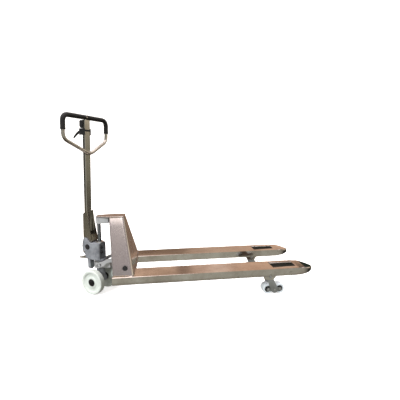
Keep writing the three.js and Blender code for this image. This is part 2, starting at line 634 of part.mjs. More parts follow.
function build() {
  const root = new THREE.Group();
  root.name = 'pallet_jack';
  root.position.x = -MID_LENGTH;
  const unit = steeringUnit();
  unit.add(drawbar());
  root.add(chassis(), linkage(), part('swivel_carrier', swivelCarrier(), CAST), unit);
  return root;
}

export default build();
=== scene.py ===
"""Looks for the pallet jack: stainless steel sheet, cast pump, nylon wheels and rubber grips.

Lengths in the modelling code are millimetres. BASE, UNIT and TUBE take them to the frame:
BASE counts X from the foot of the housing's back plate, UNIT is the steered pump with its X
away from the operator, and TUBE is the drawbar, with its Z up through the middle of the tube
from the height of the handle's pivot.
"""
import json
import math
import random

import bmesh
import bpy
from mathutils import Matrix, Vector


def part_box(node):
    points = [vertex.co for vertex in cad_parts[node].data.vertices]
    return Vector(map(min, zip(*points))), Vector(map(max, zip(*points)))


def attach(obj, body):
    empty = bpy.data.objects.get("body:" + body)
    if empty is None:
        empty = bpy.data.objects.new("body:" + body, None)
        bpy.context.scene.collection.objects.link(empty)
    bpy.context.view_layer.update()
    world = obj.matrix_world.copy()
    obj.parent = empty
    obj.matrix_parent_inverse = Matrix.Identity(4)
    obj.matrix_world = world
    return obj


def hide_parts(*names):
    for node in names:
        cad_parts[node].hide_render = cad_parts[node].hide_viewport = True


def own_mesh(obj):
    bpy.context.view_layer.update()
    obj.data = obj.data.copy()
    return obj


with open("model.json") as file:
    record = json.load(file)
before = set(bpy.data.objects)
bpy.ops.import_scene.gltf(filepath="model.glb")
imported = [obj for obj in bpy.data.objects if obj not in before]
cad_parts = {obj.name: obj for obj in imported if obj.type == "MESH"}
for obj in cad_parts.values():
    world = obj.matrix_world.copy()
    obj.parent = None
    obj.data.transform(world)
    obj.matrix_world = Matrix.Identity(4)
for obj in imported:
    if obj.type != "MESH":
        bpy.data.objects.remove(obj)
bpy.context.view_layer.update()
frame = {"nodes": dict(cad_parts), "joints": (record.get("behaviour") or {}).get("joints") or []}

MM = 0.001
SIDES = {"left": 1, "right": -1}
ENDS = {"rear": -1, "front": 1}

# Forks: X runs from the back plate to the tip, WINDOW is (rear end, front end, half width)
FORK_REAR = -123
FORK_LENGTH = 1150
FORK_HALF = 75
FORK_TOP = 182
FORK_SKIRT = 47
FORK_CENTRE = 195
FORK_BOTTOM = FORK_TOP - FORK_SKIRT
SHEET = 4
NOSE_START = 1035
SLOPE_START = 1075
TAPER_START = 1033
TIP_TOP = 167
TIP_BOTTOM = 150
WINDOW = (870, 1026, 39)

# Housing: half width, back and front edge at the foot and at the head
HOUSING_TOP = 500
FOOT = {"half": 248, "back": 0, "front": -123, "corner": 24}
HEAD = {"half": 55, "back": -65, "front": -160, "corner": 20}
FLANGE = 24

# Steering unit: places are (X, Z) on the pump, PLUNGER_BORE is (radius, bottom, top)
AXLE_X = -9
AXLE_RADIUS = 12.4
WHEEL_RADIUS = 80
WHEEL_INNER = 48
WHEEL_OUTER = 88
PLUNGER_X = -90.3
PUMP_HALF = 38
PLUNGER_BORE = (8.5, 212.8, 275)
PIVOT = (-70, 299)
EAR_BOLT = (-99, 268)
VALVES = {"upper": 300, "lower": 268}

# Handle: names ending in P count away from the operator, Y across, W up along the tube
TUBE_OFFSET = -24
BAR = 830
LOOP_HALF = 187
TOP_BEND = 42
SIDE_END = 690
VEE_SLOPE = 0.47
VEE_P = 22
VEE_Y = 40
VEE_LOW_Y = 12
GRIP_START = 7
GRIP_END = 88
LOOP_RADIUS = 10.5
GRIP_RADIUS = 14.6
TUBE_HALF = 24
TUBE_DEPTH = 11
LEVER_P = -23
LEVER_W = 750

# Rollers
ROLLER_RADIUS = 31.5
ROLLER_HALF = 30
ROLLER_AXLE_HALF = 37.4


# ---------- frame ----------

def joint(name):
    return next(j for j in frame["joints"] if j["name"] == name)


def columns(x, y, z, origin):
    m = Matrix((x, y, z)).transposed().to_4x4()
    m.translation = origin
    return m


BASE = Matrix.Translation((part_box("cross_plate")[1].x, 0, 0))
AXLE = Vector(joint("wheel_left_spin")["axis"]).normalized()
STEER = Vector(joint("steer")["pos_m"])
UNIT = columns(AXLE.cross(Vector((0, 0, 1))), AXLE, Vector((0, 0, 1)), Vector((STEER.x, STEER.y, 0)))
TUBE_UP = Vector(joint("release_rod_slide")["axis"]).normalized()
HANDLE = columns(AXLE.cross(TUBE_UP), AXLE, TUBE_UP, Vector(joint("handle")["pos_m"]))
TUBE = HANDLE @ Matrix.Translation((TUBE_OFFSET * MM, 0, 0))


# ---------- mesh helpers ----------

def finish_mesh(bm, name, matrix, material, body, replaces=(), sharp=35):
    """The bmesh, in millimetres, becomes a piece that rides on a body."""
    bmesh.ops.recalc_face_normals(bm, faces=bm.faces)
    mesh = bpy.data.meshes.new(name)
    bm.to_mesh(mesh)
    bm.free()
    mesh.transform(matrix @ Matrix.Scale(MM, 4))
    if matrix.determinant() < 0:
        mesh.flip_normals()
    for polygon in mesh.polygons:
        polygon.use_smooth = True
    mesh.set_sharp_from_angle(angle=math.radians(sharp))
    mesh.materials.append(material)
    obj = bpy.data.objects.new(name, mesh)
    bpy.context.scene.collection.objects.link(obj)
    even = obj.modifiers.new("even", "WEIGHTED_NORMAL")
    even.keep_sharp = True
    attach(obj, body)
    if replaces:
        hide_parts(*replaces)
    return obj


def bevel_sharp(bm, width, angle=30, segments=2):
    """Breaks every edge that turns by more than the angle, in degrees."""
    edges = [e for e in bm.edges if len(e.link_faces) == 2
             and e.calc_face_angle(0) > math.radians(angle)]
    if edges and width > 0:
        bmesh.ops.bevel(bm, geom=edges, offset=width, segments=segments, profile=0.6,
                        affect="EDGES", clamp_overlap=True)


def add_box(bm, low, high):
    made = bmesh.ops.create_cube(bm, size=1)["verts"]
    low, high = Vector(low), Vector(high)
    for v in made:
        v.co = Vector(((v.co[i] + 0.5) * (high[i] - low[i]) + low[i]) for i in range(3))
    return made


def add_prism(bm, outline, low, high, axis="y"):
    """A plate whose outline lies across the axis, from low to high along it."""
    order = {"x": lambda a, b, c: (c, a, b), "y": lambda a, b, c: (a, c, b), "z": lambda a, b, c: (a, b, c)}
    place = order[axis]
    rings = [[bm.verts.new(place(a, b, c)) for a, b in outline] for c in (low, high)]
    n = len(outline)
    for i in range(n):
        bm.faces.new((rings[0][i], rings[0][(i + 1) % n], rings[1][(i + 1) % n], rings[1][i]))
    bm.faces.new(rings[0][::-1])
    bm.faces.new(rings[1])
    return rings[0] + rings[1]


def add_lathe(bm, profile, axis="y", centre=(0, 0, 0), steps=64, closed=True):
    """Turns a profile of (radius, place along the axis) about that axis."""
    order = {"x": lambda r, a, t: (a, r * math.cos(t), r * math.sin(t)),
             "y": lambda r, a, t: (r * math.cos(t), a, r * math.sin(t)),
             "z": lambda r, a, t: (r * math.cos(t), r * math.sin(t), a)}
    place = order[axis]
    centre = Vector(centre)
    rings = []
    for k in range(steps):
        t = 2 * math.pi * k / steps
        rings.append([bm.verts.new(Vector(place(r, a, t)) + centre) for r, a in profile])
    count = len(profile)
    for k in range(steps):
        here, there = rings[k], rings[(k + 1) % steps]
        for i in range(count if closed else count - 1):
            j = (i + 1) % count
            bm.faces.new((here[i], here[j], there[j], there[i]))
    bmesh.ops.remove_doubles(bm, verts=[v for ring in rings for v in ring], dist=1e-4)


def add_tube(bm, path, radius, sides=24, across=Vector((1, 0, 0)), swell=None):
    """A round bar along a path; across is a direction square, or nearly so, to all of it."""
    rings = []
    last = len(path) - 1
    for i, at in enumerate(path):
        along = (path[min(i + 1, last)] - path[max(i - 1, 0)]).normalized()
        up = along.cross(across).normalized()
        side = up.cross(along)
        r = radius * (swell(i / last) if swell else 1)
        rings.append([bm.verts.new(at + r * (math.cos(t) * side + math.sin(t) * up))
                      for t in (2 * math.pi * k / sides for k in range(sides))])
    for a, b in zip(rings, rings[1:]):
        for k in range(sides):
            bm.faces.new((a[k], a[(k + 1) % sides], b[(k + 1) % sides], b[k]))
    bm.faces.new(rings[0][::-1])
    bm.faces.new(rings[-1])


def add_pin(bm, radius, half, chamfer, depth, steps):
    """A round pin across the jack, both ends chamfered: chamfer off its radius, depth along it."""
    end = radius - chamfer
    profile = [(0, -half), (end, -half), (radius, depth - half),
               (radius, half - depth), (end, half), (0, half)]
    add_lathe(bm, profile, "y", steps=steps, closed=False)


def arc(x, y, radius, start, stop, steps):
    angles = (math.radians(start + (stop - start) * k / steps) for k in range(steps + 1))
    return [(x + radius * math.cos(a), y + radius * math.sin(a)) for a in angles]


def refine(node, body, material, bevel):
    """The CAD node's own shape with its edges broken, standing for the node."""
    bm = bmesh.new()
    bm.from_mesh(frame["nodes"][node].data)
    bmesh.ops.remove_doubles(bm, verts=bm.verts, dist=0.02 * MM)
    bmesh.ops.dissolve_limit(bm, angle_limit=math.radians(1), verts=bm.verts, edges=bm.edges)
    bmesh.ops.scale(bm, vec=(1 / MM,) * 3, verts=bm.verts)
    bevel_sharp(bm, bevel)
    bmesh.ops.triangulate(bm, faces=[f for f in bm.faces if len(f.verts) > 4])
    finish_mesh(bm, node + "_finished", Matrix.Identity(4), material, body, [node])


# ---------- materials ----------

class Nodes:
    """Short names for building one node material."""

    def __init__(self, name):
        self.material = bpy.data.materials.new(name)
        self.material.use_nodes = True
        self.tree = self.material.node_tree
        self.shader = self.tree.nodes["Principled BSDF"]
        coordinates = self.tree.nodes.new("ShaderNodeTexCoord")
        self.place = coordinates.outputs["Object"]

    def link(self, a, b):
        self.tree.links.new(a, b)

    def set(self, **values):
        for key, value in values.items():
            self.shader.inputs[key.replace("_", " ")].default_value = value

    def stretch(self, scale):
        mapping = self.tree.nodes.new("ShaderNodeMapping")
        mapping.inputs["Scale"].default_value = scale
        self.link(self.place, mapping.inputs["Vector"])
        return mapping.outputs["Vector"]

    def noise(self, scale, detail=4, rough=0.55, stretch=(1, 1, 1)):
        n = self.tree.nodes.new("ShaderNodeTexNoise")
        n.inputs["Scale"].default_value = scale
        n.inputs["Detail"].default_value = detail
        n.inputs["Roughness"].default_value = rough
        self.link(self.stretch(stretch), n.inputs["Vector"])
        return n.outputs["Fac"]

    def cells(self, scale, stretch=(1, 1, 1)):
        n = self.tree.nodes.new("ShaderNodeTexVoronoi")
        n.inputs["Scale"].default_value = scale
        self.link(self.stretch(stretch), n.inputs["Vector"])
        return n.outputs["Distance"]

    def ramp(self, value, *stops):
        n = self.tree.nodes.new("ShaderNodeValToRGB")
        n.color_ramp.elements[0].position = stops[0][0]
        n.color_ramp.elements[0].color = rgba(stops[0][1])
        n.color_ramp.elements[1].position = stops[-1][0]
        n.color_ramp.elements[1].color = rgba(stops[-1][1])
        for at, colour in stops[1:-1]:
            n.color_ramp.elements.new(at).color = rgba(colour)
        self.link(value, n.inputs["Fac"])
        return n.outputs["Color"]

    def mix(self, amount, a, b):
        n = self.tree.nodes.new("ShaderNodeMix")
        n.data_type = "RGBA"
        for socket, value in ((n.inputs["Factor"], amount), (n.inputs["A"], a), (n.inputs["B"], b)):
            if isinstance(value, bpy.types.NodeSocket):
                self.link(value, socket)
            elif isinstance(value, (int, float)):
                socket.default_value = value if socket.name == "Factor" else rgba(value)
            else:
                socket.default_value = rgba(value)
        return n.outputs["Result"]

    def span(self, value, low, high, to_low, to_high):
        n = self.tree.nodes.new("ShaderNodeMapRange")
        for key, number in (("From Min", low), ("From Max", high), ("To Min", to_low), ("To Max", to_high)):
            n.inputs[key].default_value = number
        self.link(value, n.inputs["Value"])
        return n.outputs["Result"]

    def maths(self, operation, a, b):
        n = self.tree.nodes.new("ShaderNodeMath")
        n.operation = operation
        for socket, value in ((n.inputs[0], a), (n.inputs[1], b)):
            if isinstance(value, bpy.types.NodeSocket):
                self.link(value, socket)
            else:
                socket.default_value = value
        return n.outputs["Value"]

    def axis(self, letter):
        n = self.tree.nodes.new("ShaderNodeSeparateXYZ")
        self.link(self.place, n.inputs["Vector"])
        return n.outputs[letter]

    def bump(self, height, strength, distance):
        n = self.tree.nodes.new("ShaderNodeBump")
        n.inputs["Strength"].default_value = strength
        n.inputs["Distance"].default_value = distance
        self.link(height, n.inputs["Height"])
        self.link(n.outputs["Normal"], self.shader.inputs["Normal"])

    def colour(self, output):
        self.link(output, self.shader.inputs["Base Color"])

    def rough(self, output):
        self.link(output, self.shader.inputs["Roughness"])


def rgba(value):
    if isinstance(value, (int, float)):
        return (value, value, value, 1)
    return (*value[:3], 1)


def steel(name, tone, smudge, grain, roughness=(0.16, 0.28), darken_low=0.0):
    """Rolled stainless sheet: a fine grain, cloudy handling marks and long scratches."""
    m = Nodes(name)
    cloud = m.noise(7, 5, 0.6)
    spots = m.noise(46, 4, 0.6)
    streak = m.noise(240, 3, 0.6, grain)
    scratch = m.noise(90, 2, 0.5, grain)
    colour = m.mix(m.span(cloud, 0.36, 0.66, 0, 1), tone, smudge)
    colour = m.mix(m.span(streak, 0.3, 0.7, 0, 0.1), colour, (0.72, 0.70, 0.67))
    colour = m.mix(m.span(spots, 0.62, 0.72, 0, 0.35), colour, [c * 0.5 for c in smudge])
    if darken_low:
        # Darker towards the bottom of the part, by height.
        low = m.span(m.axis("Z"), 0.03, 0.2, darken_low, 0)
        colour = m.mix(m.maths("MULTIPLY", low, cloud), colour, (0.10, 0.095, 0.085))
    m.colour(colour)
    m.rough(m.maths("ADD", m.span(cloud, 0.3, 0.7, *roughness), m.span(streak, 0.3, 0.7, -0.03, 0.05)))
    m.set(Metallic=1.0)
    lines = m.maths("MULTIPLY", m.span(scratch, 0.6, 0.64, 0, 1), 0.4)
    m.bump(m.maths("ADD", m.maths("MULTIPLY", streak, 0.3), lines), 0.045, 0.0003)
    return m.material


def cast_metal(name, tone, shade):
    """Blasted casting: a fine sandy skin, darker where oil and dust gather."""
    m = Nodes(name)
    sand = m.noise(900, 3, 0.7)
    lumps = m.noise(60, 4, 0.6)
    stain = m.noise(14, 5, 0.65)
    colour = m.mix(m.span(stain, 0.42, 0.68, 0, 0.9), tone, shade)
    colour = m.mix(m.span(sand, 0.35, 0.7, 0, 0.25), colour, [c * 1.25 for c in tone])
    m.colour(colour)
    m.rough(m.span(stain, 0.3, 0.7, 0.42, 0.62))
    m.set(Metallic=0.45)
    m.bump(m.maths("ADD", m.maths("MULTIPLY", sand, 0.4), lumps), 0.35, 0.0008)
    return m.material


def turned_steel(name, tone, rough=0.14, oil=0.3):
    """Ground or turned steel with fine rings and a film of oil."""
    m = Nodes(name)
    rings = m.noise(500, 2, 0.5, (0.2, 0.2, 1))
    film = m.noise(30, 4, 0.6)
    m.colour(m.mix(m.span(film, 0.45, 0.7, 0, oil), tone, [c * 0.35 for c in tone]))
    m.rough(m.maths("ADD", m.span(film, 0.3, 0.7, rough, rough + 0.16), m.span(rings, 0.3, 0.7, 0, 0.08)))
    m.set(Metallic=1.0)
    m.bump(rings, 0.08, 0.0003)
    return m.material


def black_metal(name, tone=(0.035, 0.035, 0.038)):
    """Blackened or black-painted steel, worn grey in patches."""
    m = Nodes(name)
    wear = m.noise(120, 5, 0.65)
    m.colour(m.mix(m.span(wear, 0.6, 0.68, 0, 0.8), tone, (0.22, 0.21, 0.2)))
    m.rough(m.span(wear, 0.35, 0.7, 0.5, 0.3))
    m.set(Metallic=0.6)
    m.bump(wear, 0.15, 0.0004)
    return m.material


def rubber(name, tone=(0.012, 0.012, 0.013), dust=0.3):
    """Moulded black rubber: fine leathery grain, with palm polish and dust."""
    m = Nodes(name)
    grain = m.cells(700)
    cloud = m.noise(25, 4, 0.6)
    m.colour(m.mix(m.span(cloud, 0.45, 0.75, 0, dust), tone, (0.075, 0.072, 0.068)))
    m.rough(m.span(cloud, 0.3, 0.7, 0.46, 0.72))
    m.set(Specular_IOR_Level=0.4)
    m.bump(grain, 0.25, 0.0005)
    return m.material


def nylon(name, tone, dirt):
    """Cast nylon: pale and slightly waxy, scuffed and marked by the floor."""
    m = Nodes(name)
    cloud = m.noise(18, 5, 0.6)
    marks = m.noise(130, 3, 0.6, (1, 1, 1))
    colour = m.mix(m.span(cloud, 0.42, 0.72, 0, 0.55), tone, dirt)
    colour = m.mix(m.span(marks, 0.63, 0.7, 0, 0.5), colour, [c * 0.6 for c in dirt])
    m.colour(colour)
    m.rough(m.span(cloud, 0.3, 0.7, 0.32, 0.5))
    m.set(Subsurface_Weight=0.12)
    m.shader.inputs["Subsurface Radius"].default_value = (0.004, 0.004, 0.0035)
    m.bump(marks, 0.12, 0.0005)
    return m.material


def weld_metal(name):
    """Weld bead: rippled, with straw and blue heat colours."""
    m = Nodes(name)
    heat = m.noise(60, 3, 0.6)
    m.colour(m.ramp(heat, (0.35, (0.36, 0.34, 0.31)), (0.5, (0.4, 0.3, 0.2)), (0.62, (0.22, 0.22, 0.3)),
                    (0.72, (0.5, 0.48, 0.46))))
    m.rough(m.span(heat, 0.3, 0.7, 0.28, 0.45))
    m.set(Metallic=1.0)
    m.bump(m.noise(420, 3, 0.6), 0.3, 0.0006)
    return m.material


ALONG_X = (0.012, 1, 1)
ALONG_Z = (1, 1, 0.02)
FORK_STEEL = steel("fork_steel", (0.56, 0.52, 0.48), (0.40, 0.35, 0.31), ALONG_X, (0.07, 0.14), darken_low=0.2)
# Near black for the fork sheets' inner faces: painted shade for the shadowed inside, on dull unpolished
# steel.
FORK_INSIDE_DULL_AND_SHADE = cast_metal("fork_inside_dull_and_shade", (0.06, 0.057, 0.05), (0.03, 0.028, 0.025))
HOUSING_STEEL = steel("housing_steel", (0.56, 0.53, 0.52), (0.44, 0.41, 0.39), ALONG_Z)
TUBE_STEEL = steel("tube_steel", (0.52, 0.50, 0.46), (0.38, 0.36, 0.32), ALONG_Z)
LOOP_STEEL = steel("loop_steel", (0.56, 0.54, 0.50), (0.42, 0.39, 0.35), (1, 1, 1), (0.14, 0.26))
LINK_STEEL = steel("link_steel", (0.56, 0.58, 0.62), (0.38, 0.39, 0.41), ALONG_X, (0.26, 0.42), darken_low=0.5)
PUMP_CAST = cast_metal("pump_casting", (0.34, 0.36, 0.40), (0.13, 0.135, 0.15))
FRAME_CAST = cast_metal("frame_casting", (0.50, 0.51, 0.53), (0.26, 0.26, 0.27))
BRIGHT_STEEL = turned_steel("bright_steel", (0.66, 0.66, 0.67))
CHROME_ROD = turned_steel("chrome_rod", (0.24, 0.26, 0.30), 0.07, 0.15)
BLACK_STEEL = black_metal("black_steel")
HUB_STEEL = black_metal("hub_steel", (0.02, 0.02, 0.022))
RUBBER_GRIP = rubber("grip_rubber", (0.008, 0.008, 0.009), 0.12)
RUBBER_LEVER = rubber("lever_plastic", (0.01, 0.01, 0.011), 0.1)
NYLON_WHEEL = nylon("wheel_nylon", (0.58, 0.63, 0.60), (0.42, 0.44, 0.41))
NYLON_ROLLER = nylon("roller_nylon", (0.74, 0.81, 0.86), (0.54, 0.58, 0.62))
WELD = weld_metal("weld_bead")


# ---------- forks ----------

def nose_points(steps):
    """The rounded nose from its right corner round the tip to its left corner."""
    points = []
    for k in range(-steps, steps + 1):
        across = math.sin(math.pi / 2 * k / steps)
        reach = (1 - abs(across) ** 1.43) ** 0.385
        points.append((NOSE_START + (FORK_LENGTH - NOSE_START) * reach, FORK_HALF * across))
    return points


def slope(x, start, high, low):
    return high + (low - high) * max(0, x - start) / (FORK_LENGTH - start)


def top_height(x):
    return slope(x, SLOPE_START, FORK_TOP, TIP_TOP)


def skirt_bottom(x):
    return slope(x, TAPER_START, FORK_BOTTOM, TIP_BOTTOM)


def fork_skin(bm):
    """Top sheet with its roller window, folded down into a skirt that runs round the nose."""
    x0, x1, half = WINDOW
    steps = 18
    right_side = [(x, -FORK_HALF) for x in (FORK_REAR, 400, x0)]
    left_side = [(x, -y) for x, y in right_side[::-1]]
    outline = right_side + nose_points(steps) + left_side
    top = [bm.verts.new((x, y, top_height(x))) for x, y in outline]
    r = 9
    hole = (arc(x1 - r, -half + r, r, -90, 0, 4) + arc(x1 - r, half - r, r, 0, 90, 4)
            + arc(x0 + r, half - r, r, 90, 180, 4) + arc(x0 + r, -half + r, r, 180, 270, 4))
    inner = [bm.verts.new((x, y, FORK_TOP)) for x, y in hole]
    rear, back, front, neck = [bm.verts.new((x, 0, FORK_TOP)) for x in (FORK_REAR, x0, x1, NOSE_START)]
    first = len(right_side)
    last = first + 2 * steps
    bm.faces.new([rear, *top[:first + 1], neck, front, *inner[4::-1], *inner[:14:-1], back])
    bm.faces.new([rear, back, *inner[14:4:-1], front, neck, *top[last:]])
    bm.faces.new([neck, top[first], top[first + 1], top[last - 1], top[last]])
    for k in range(1, steps - 1):
        bm.faces.new((top[first + k], top[first + k + 1], top[last - k - 1], top[last - k]))
    bm.faces.new(top[first + steps - 1:first + steps + 2])
    bottom = [bm.verts.new((x, y, skirt_bottom(x))) for x, y in outline]
    for i in range(len(outline) - 1):
        bm.faces.new((top[i], bottom[i], bottom[i + 1], top[i + 1]))
    fold = [bm.edges.get((top[i], top[i + 1])) for i in range(len(outline) - 1)]
    bmesh.ops.bevel(bm, geom=fold, offset=7, segments=5, profile=0.5, affect="EDGES")
    bmesh.ops.triangulate(bm, faces=[f for f in bm.faces if len(f.verts) > 4])


def fork_ears(bm):
    """Two plates under the skirt that carry the roller bracket."""
    outline = [(799, FORK_BOTTOM + 1), (801, FORK_BOTTOM - 4),
               (807, 118), (813, 114), (860, 113), (866, 116),
               (877, FORK_BOTTOM - 4), (880, FORK_BOTTOM + 1)]
    for s in (-1, 1):
        add_prism(bm, outline, min(s * 71, s * 75), max(s * 71, s * 75))


def solidify(obj, thickness):
    """The sheet grows inward to its thickness, before any other modifier."""
    shell = obj.modifiers.new("sheet", "SOLIDIFY")
    shell.thickness = thickness * MM
    shell.offset = -1.0
    shell.use_even_offset = True
    obj.modifiers.move(len(obj.modifiers) - 1, 0)
    return obj


def build_forks():
    """Both fork sheets, bright outside and dark inside with painted shade on dull steel, with their roller
    ears.
    """
    for name, side in SIDES.items():
        place = BASE @ Matrix.Translation((0, side * FORK_CENTRE * MM, 0))
        bm = bmesh.new()
        fork_skin(bm)
        fork = finish_mesh(bm, f"fork_sheet_{name}", place, FORK_STEEL, "chassis", [f"fork_{name}"], 40)
        # The second slot paints the inner faces near black: painted shade on dull steel.
        fork.data.materials.append(FORK_INSIDE_DULL_AND_SHADE)
        solidify(fork, SHEET).modifiers["sheet"].material_offset = 1
        bm = bmesh.new()
        fork_ears(bm)
        bevel_sharp(bm, 0.8)
        finish_mesh(bm, f"fork_ears_{name}", place, FORK_STEEL, "chassis")
        refine(f"hanger_pin_{name}", "chassis", LINK_STEEL, 1.2)


# ---------- housing ----------

def housing_section(z):
    """The folded plate at one height, from one flange round the back to the other."""
    t = (z - FORK_TOP) / (HOUSING_TOP - FORK_TOP)
    size = {key: FOOT[key] + (HEAD[key] - FOOT[key]) * t for key in FOOT}
    half, back, front, corner = size["half"], size["back"], size["front"], size["corner"]
    bend = 8
    right = [(front, -half + FLANGE)]
    right += arc(front + bend, -half + bend, bend, 180, 270, 5)
    right += arc(back - corner, -half + corner, corner, -90, 0, 8)
    left = [(x, -y) for x, y in right[::-1]]
    return [(x, y, z) for x, y in right + left]


def build_housing():
    """The folded housing plate with what is fixed to it."""
    bm = bmesh.new()
    levels = [FORK_TOP + 0.5 + (HOUSING_TOP - FORK_TOP - 0.5) * k / 6 for k in range(7)]
    rows = [[bm.verts.new(p) for p in housing_section(z)] for z in levels]
    for low, high in zip(rows, rows[1:]):
        for i in range(len(low) - 1):
            bm.faces.new((low[i], low[i + 1], high[i + 1], high[i]))
    shell = finish_mesh(bm, "housing_plate", BASE, HOUSING_STEEL, "chassis", ["housing_shell"], 50)
    solidify(shell, SHEET)
    refine("top_plate", "chassis", HOUSING_STEEL, 3.0)
    refine("cross_plate", "chassis", HOUSING_STEEL, 1.0)
    refine("ram_seat", "chassis", FRAME_CAST, 2.0)
    refine("rocker_shaft", "chassis", BLACK_STEEL, 1.5)
    refine("ram_rod", "chassis", CHROME_ROD, 1.5)


def weld_bead(name, points, radius, seed):
    """A rippled bead on the chassis, laid along a line of points in the BASE frame."""
    random.seed(seed)
    path = []
    for a, b in zip(points, points[1:]):
        a, b = Vector(a), Vector(b)
        steps = max(2, int((b - a).length / 3))
        path += [a.lerp(b, k / steps) for k in range(steps)]
    path.append(Vector(points[-1]))
    along = (path[-1] - path[0]).normalized()
    across = along.orthogonal().normalized()
    bm = bmesh.new()
    ripple = [1 + 0.16 * math.sin(2.1 * i) + 0.08 * random.uniform(-1, 1) for i in range(len(path))]
    add_tube(bm, path, radius, 8, across, lambda t: ripple[int(t * (len(path) - 1))])
    finish_mesh(bm, name, BASE, WELD, "chassis", sharp=60)


def build_welds():
    """Beads where the housing stands on the forks, under the top plate and along the cross plate."""
    for name, s in SIDES.items():
        half = FOOT["half"]
        foot = FORK_TOP + 1.5
        weld_bead(f"weld_side_{name}", [(-118, s * (half + 0.5), foot), (-26, s * (half + 0.5), foot)],
                  2.6, 3 + s)
        weld_bead(f"weld_back_{name}", [(1, s * (half - 26), foot), (1, s * 122, foot)],
                  2.6, 8 + s)
        weld_bead(f"weld_top_{name}", [(-155, s * 56, HOUSING_TOP - 1), (-82, s * 55, HOUSING_TOP - 1)],
                  2.2, 12 + s)
    weld_bead("weld_cross", [(1, -118, FORK_TOP + 1), (1, 118, FORK_TOP + 1)], 2.4, 20)


# ---------- lift linkage ----------

def build_linkage():
    """Rocker arm, push rods, brackets, bogies and load rollers."""
    refine("rocker_arm", "rocker", FRAME_CAST, 2.0)
    refine("swivel_carrier", "carrier", FRAME_CAST, 1.2)
    for name in SIDES:
        refine(f"pushrod_{name}", f"pushrod_{name}", LINK_STEEL, 1.0)
        refine(f"roller_bracket_{name}", f"bracket_{name}", LINK_STEEL, 1.0)
        refine(f"bogie_pin_{name}", f"bogie_pin_{name}", BRIGHT_STEEL, 0.8)
        refine(f"bogie_frame_{name}", f"bogie_{name}", LINK_STEEL, 1.0)
        for place in ENDS:
            build_roller(name, place)


def build_roller(name, place):
    """Load roller: barrel with broken corners, sunk faces and two shielded bearings."""
    low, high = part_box(f"roller_axle_{name}_{place}")
    centre = (low + high) / 2
    matrix = Matrix.Translation(centre)
    body = f"roller_{name}_{place}"
    r, h = ROLLER_RADIUS, ROLLER_HALF
    half = ([(20.5, 0), (20.5, h - 2.5), (21.5, h - 2), (r - 7, h - 1.2), (r - 5, h)]
            + arc(r - 4, h - 4, 4, 90, 0, 5))
    profile = half + [(q, -y) for q, y in half[::-1] if y]
    bm = bmesh.new()
    add_lathe(bm, profile, "y", steps=72)
    finish_mesh(bm, f"roller_{name}_{place}_barrel", matrix, NYLON_ROLLER, body,
                [f"load_roller_{name}_{place}"], 30)
    bm = bmesh.new()
    for s in (-1, 1):
        add_lathe(bm, [(15.4, s * (h - 9)), (20.3, s * (h - 9)), (20.3, s * (h - 3)), (19.6, s * (h - 2.2)),
                       (17.6, s * (h - 2.2)), (17.0, s * (h - 3)), (15.4, s * (h - 3))], "y", steps=48)
        add_lathe(bm, [(10.2, s * (h - 9)), (15.2, s * (h - 9)), (15.2, s * (h - 4)), (10.2, s * (h - 4))],
                  "y", steps=48)
    finish_mesh(bm, f"roller_{name}_{place}_bearings", matrix, BLACK_STEEL, body,
                [f"roller_bearing_{name}_{place}"], 30)
    bm = bmesh.new()
    for s in (-1, 1):
        add_lathe(bm, [(6.4, s * (h - 9)), (10, s * (h - 9)), (10, s * (h - 1.5)), (9.2, s * (h - 0.6)),
                       (6.4, s * (h - 0.6))], "y", steps=40)
    finish_mesh(bm, f"roller_{name}_{place}_inner_race", matrix, BRIGHT_STEEL, body,
                sharp=30)
    bm = bmesh.new()
    add_pin(bm, 6, ROLLER_AXLE_HALF, 1, 1, 32)
    finish_mesh(bm, f"roller_{name}_{place}_axle", matrix, BRIGHT_STEEL, f"bogie_{name}",
                [f"roller_axle_{name}_{place}"], 30)


# ---------- steering unit ----------

def bore_cutter(x, radius, low, high):
    """An upright cylinder that cuts a true bore back into an eased casting."""
    bm = bmesh.new()
    add_lathe(bm, [(0, low), (radius, low), (radius, high), (0, high)], "z", (x, 0, 0), 48, closed=False)
    bmesh.ops.recalc_face_normals(bm, faces=bm.faces)
    mesh = bpy.data.meshes.new("bore_cutter")
    bm.to_mesh(mesh)
    bm.free()
    mesh.transform(UNIT @ Matrix.Scale(MM, 4))
    cutter = bpy.data.objects.new("bore_cutter", mesh)
    bpy.context.scene.collection.objects.link(cutter)
    return cutter


def cast_from(node, body, material, voxel=1.4, smooth=6, bore=None):
    """The CAD node as a casting: remeshed finely and eased, so that its corners get fillets."""
    obj = bpy.data.objects.new(node + "_casting", frame["nodes"][node].data.copy())
    obj.data.name = node + "_casting"
    bpy.context.scene.collection.objects.link(obj)
    weld = obj.modifiers.new("weld", "WELD")
    weld.merge_threshold = 0.02 * MM
    remesh = obj.modifiers.new("remesh", "REMESH")
    remesh.mode = "VOXEL"
    remesh.voxel_size = voxel * MM
    ease = obj.modifiers.new("ease", "SMOOTH")
    ease.factor = 0.5
    ease.iterations = smooth
    thin = obj.modifiers.new("thin", "DECIMATE")
    thin.ratio = 0.25
    if bore:
        drill = obj.modifiers.new("drill", "BOOLEAN")
        drill.operation = "DIFFERENCE"
        drill.solver = "EXACT"
        drill.object = bore
    baked = bpy.data.meshes.new_from_object(obj.evaluated_get(bpy.context.evaluated_depsgraph_get()))
    bpy.data.objects.remove(obj)
    if bore:
        bpy.data.objects.remove(bore)
    made = bpy.data.objects.new(node + "_casting", baked)
    bpy.context.scene.collection.objects.link(made)
    baked.materials.clear()
    baked.materials.append(material)
    for polygon in baked.polygons:
        polygon.use_smooth = True
    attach(made, body)
    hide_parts(node)


